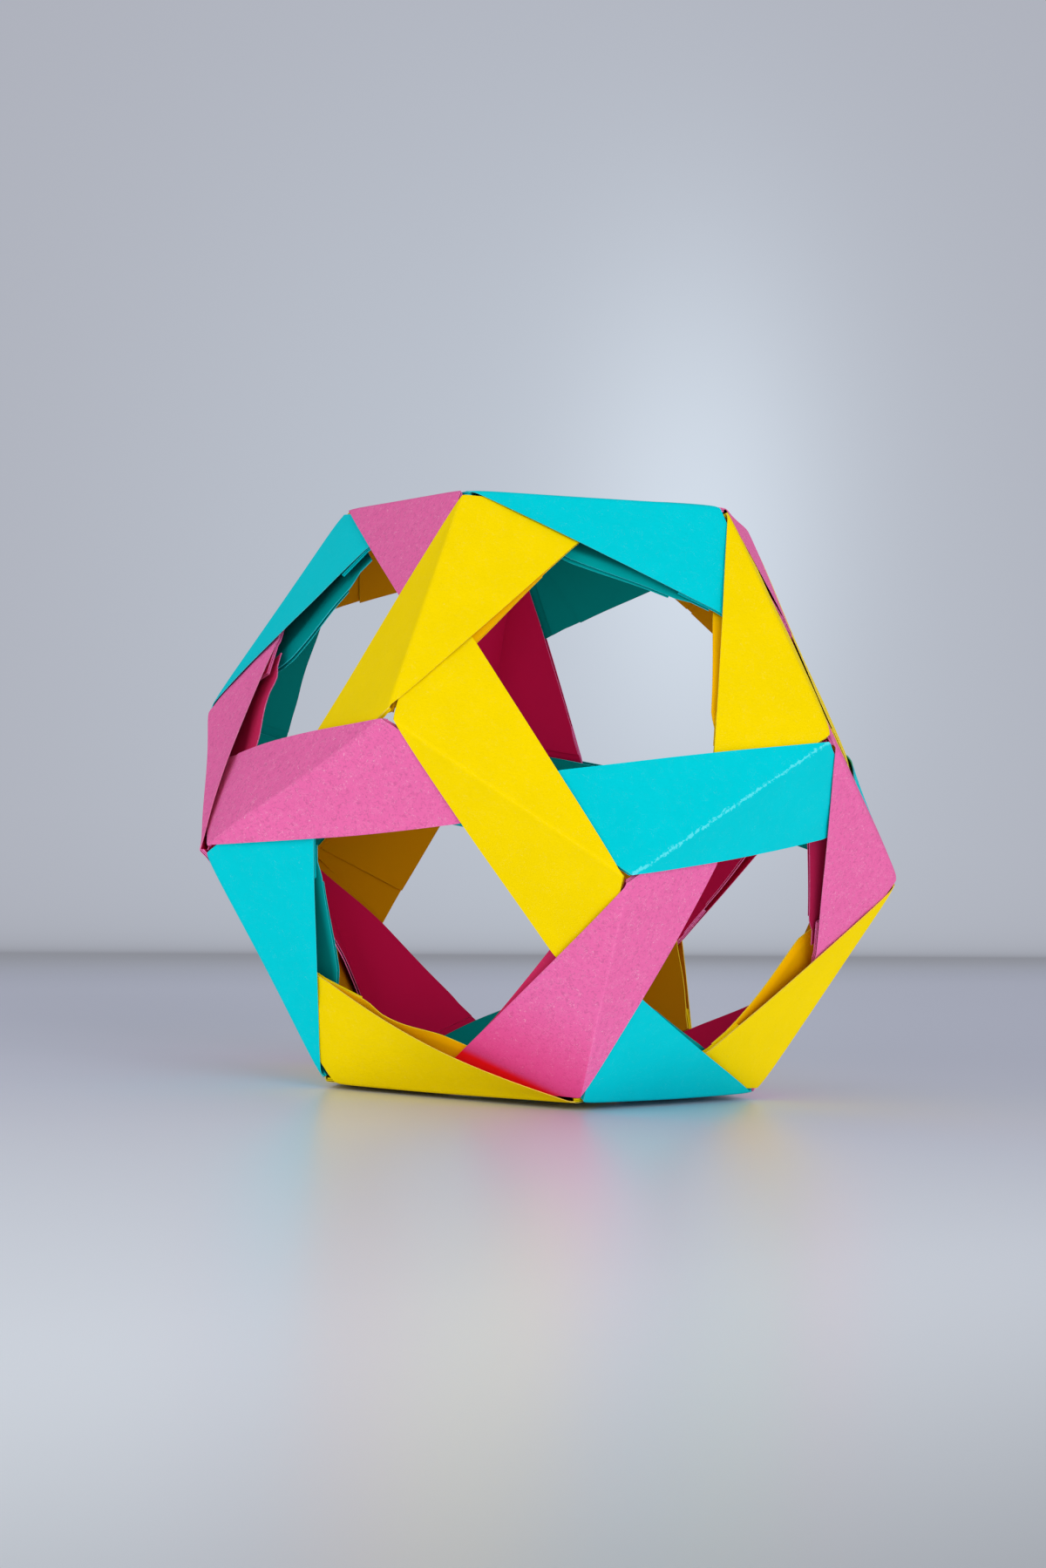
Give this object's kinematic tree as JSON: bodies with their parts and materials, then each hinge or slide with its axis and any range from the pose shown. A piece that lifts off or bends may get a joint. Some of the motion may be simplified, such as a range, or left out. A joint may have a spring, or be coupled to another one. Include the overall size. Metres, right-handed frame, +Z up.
{
  "type": "kusudama paper ball",
  "caption": "Openwork paper ball of folded strips in yellow, pink and turquoise, their corners tucked into one another around pentagonal windows; a table decoration.",
  "frame": {"origin": "centre of the bounding box on the table, which is the centre of the pentagonal face the ball rests on", "axes": "+Z up from the table, -Y towards the lowest corner that faces the front, +X to the right of it"},
  "size_m": [0.1382, 0.1448, 0.1177],
  "materials": {
    "yellow_paper": "matt uncoated, bright yellow",
    "pink_paper": "matt uncoated, rose pink with fine fibres",
    "turquoise_paper": "matt uncoated, turquoise"
  },
  "bodies": {
    "root": {"bottom_unit_1_turquoise": "turquoise_paper", "bottom_unit_2_pink": "pink_paper", "bottom_unit_3_turquoise": "turquoise_paper", "bottom_unit_4_yellow": "yellow_paper", "bottom_unit_5_yellow": "yellow_paper", "lower_unit_1_pink": "pink_paper", "lower_unit_2_yellow": "yellow_paper", "lower_unit_3_yellow": "yellow_paper", "lower_unit_4_pink": "pink_paper", "lower_unit_5_turquoise": "turquoise_paper", "belt_unit_1_turquoise": "turquoise_paper", "belt_unit_2_pink": "pink_paper", "belt_unit_3_turquoise": "turquoise_paper", "belt_unit_4_pink": "pink_paper", "belt_unit_5_turquoise": "turquoise_paper", "belt_unit_6_yellow": "yellow_paper", "belt_unit_7_turquoise": "turquoise_paper", "belt_unit_8_pink": "pink_paper", "belt_unit_9_pink": "pink_paper", "belt_unit_10_yellow": "yellow_paper", "upper_unit_1_yellow": "yellow_paper", "upper_unit_2_yellow": "yellow_paper", "upper_unit_3_pink": "pink_paper", "upper_unit_4_turquoise": "turquoise_paper", "upper_unit_5_yellow": "yellow_paper", "top_unit_1_pink": "pink_paper", "top_unit_2_turquoise": "turquoise_paper", "top_unit_3_yellow": "yellow_paper", "top_unit_4_pink": "pink_paper", "top_unit_5_turquoise": "turquoise_paper"}
  },
  "joints": []
}
